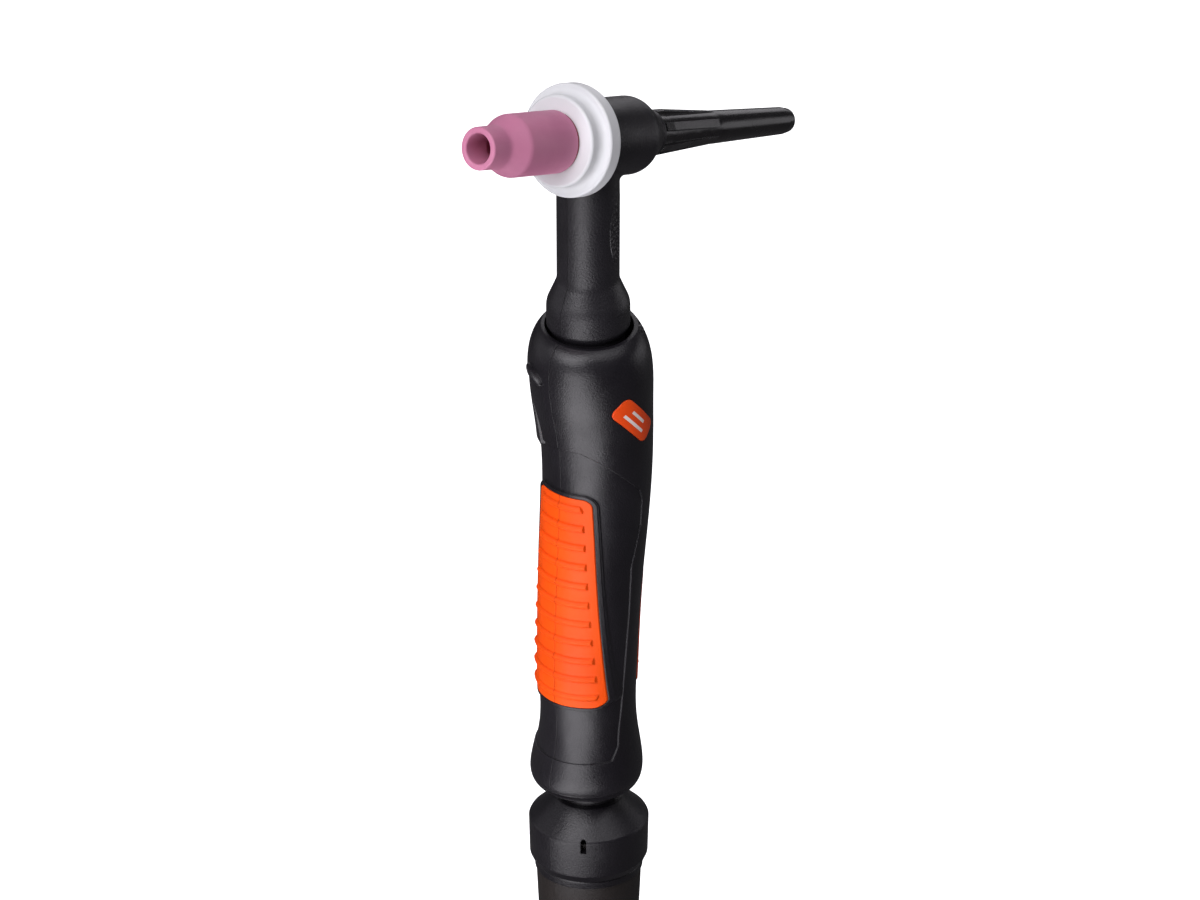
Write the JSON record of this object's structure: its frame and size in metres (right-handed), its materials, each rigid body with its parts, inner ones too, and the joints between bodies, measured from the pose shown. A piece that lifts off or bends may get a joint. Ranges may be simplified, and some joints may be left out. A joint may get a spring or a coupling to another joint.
{
  "type": "TIG welding torch",
  "caption": "Hand-held TIG welding torch with ceramic nozzle, long back cap, two-shell ribbed handle with side trigger and a ball-jointed cable boot.",
  "frame": {"origin": "where the head axis crosses the handle axis", "axes": "+X nozzle side, +Y left side of the torch, +Z along the handle axis towards the head"},
  "size_m": [0.1417, 0.0366, 0.3065],
  "materials": {
    "pink_ceramic": "matte fired alumina",
    "red_seal": "smooth silicone",
    "white_ptfe": "turned PTFE",
    "copper": "turned copper",
    "tungsten": "ground tungsten",
    "brass": "turned brass",
    "head_black": "satin moulded rubberised plastic",
    "cap_black": "semi-gloss phenolic",
    "hose_rubber": "smooth hose rubber",
    "handle_black": "fine spark-textured nylon",
    "orange_grip": "satin soft-touch rubber",
    "orange_badge": "printed label",
    "steel": "zinc plated",
    "switch_plastic": "moulded",
    "nylon": "moulded nylon",
    "boot_rubber": "matte rubber"
  },
  "bodies": {
    "torch": {"cup_insulator": "white_ptfe", "collet_body": "copper", "collet": "copper", "power_water_tube": "copper", "water_tube": "copper", "gas_tube": "copper", "head_core": "brass", "power_water_fitting": "brass", "water_fitting": "brass", "gas_fitting": "brass", "head_cover": "head_black", "power_water_hose": "hose_rubber", "water_hose": "hose_rubber", "gas_hose": "hose_rubber", "switch_cable": "hose_rubber", "handle_shell_left": "handle_black", "handle_shell_right": "handle_black", "front_grip_left": "orange_grip", "front_grip_right": "orange_grip", "rear_grip_left": "orange_grip", "rear_grip_right": "orange_grip", "side_badge": "orange_badge", "trigger_pin": "steel", "trigger_spring": "steel", "shell_screws": "steel", "switch_body": "switch_plastic"},
    "trigger": {"trigger_lever": "handle_black"},
    "plunger": {"switch_plunger": "switch_plastic"},
    "cup_slide": {"cup_gasket": "red_seal"},
    "cup": {"ceramic_cup": "pink_ceramic"},
    "cap_slide": {"back_cap_oring": "red_seal"},
    "cap": {"back_cap": "cap_black"},
    "electrode": {"tungsten_electrode": "tungsten"},
    "knuckle_swivel": {"ball_seat": "nylon"},
    "knuckle_tilt": {"ball_stem": "nylon"},
    "collar": {"swivel_collar": "handle_black", "boot_ring": "handle_black", "cable_boot": "boot_rubber"}
  },
  "joints": [
    {"name": "electrode_feed", "type": "slide", "parent": "torch", "child": "electrode", "axis": [0.9659, 0, 0.2588], "range_m": [0, 0.031]},
    {"name": "cup_travel", "type": "slide", "parent": "torch", "child": "cup_slide", "axis": [0.9659, 0, 0.2588], "range_m": [0, 0.003]},
    {"name": "cup_turn", "type": "hinge", "parent": "cup_slide", "child": "cup", "pos_m": [0.01468, 0, 0.00393], "axis": [0.9659, 0, 0.2588], "range_deg": [0, 720]},
    {"name": "cap_travel", "type": "slide", "parent": "torch", "child": "cap_slide", "axis": [-0.9659, 0, -0.2588], "range_m": [0, 0.003]},
    {"name": "cap_turn", "type": "hinge", "parent": "cap_slide", "child": "cap", "pos_m": [-0.02753, 0, -0.00738], "axis": [-0.9659, 0, -0.2588], "range_deg": [0, 720]},
    {"name": "trigger_press", "type": "hinge", "parent": "torch", "child": "trigger", "pos_m": [0.00347, -0.00743, -0.092], "axis": [-0.9063, -0.4226, 0], "range_deg": [0, 5], "stiffness_Nm_per_rad": 0.6, "deforming": ["trigger_spring"]},
    {"name": "plunger_push", "type": "slide", "parent": "torch", "child": "plunger", "axis": [-0.4226, 0.9063, 0], "range_m": [0, 0.00146]},
    {"name": "knuckle_swivel", "type": "hinge", "parent": "torch", "child": "knuckle_swivel", "pos_m": [0, 0, -0.203], "axis": [0, 0, 1], "range_deg": [-180, 180]},
    {"name": "knuckle_tilt", "type": "hinge", "parent": "knuckle_swivel", "child": "knuckle_tilt", "pos_m": [0, 0, -0.203], "axis": [0, 1, 0], "range_deg": [-12, 12]},
    {"name": "collar_turn", "type": "hinge", "parent": "knuckle_tilt", "child": "collar", "pos_m": [0, 0, -0.22], "axis": [0, 0, 1], "range_deg": [-180, 180]}
  ],
  "couplings": [
    {"joint": "cup_travel", "follows": "cup_turn", "m_per_rad": 0.00023873},
    {"joint": "cap_travel", "follows": "cap_turn", "m_per_rad": 0.00023873},
    {"joint": "plunger_push", "follows": "trigger_press", "m_per_rad": 0.0166}
  ]
}
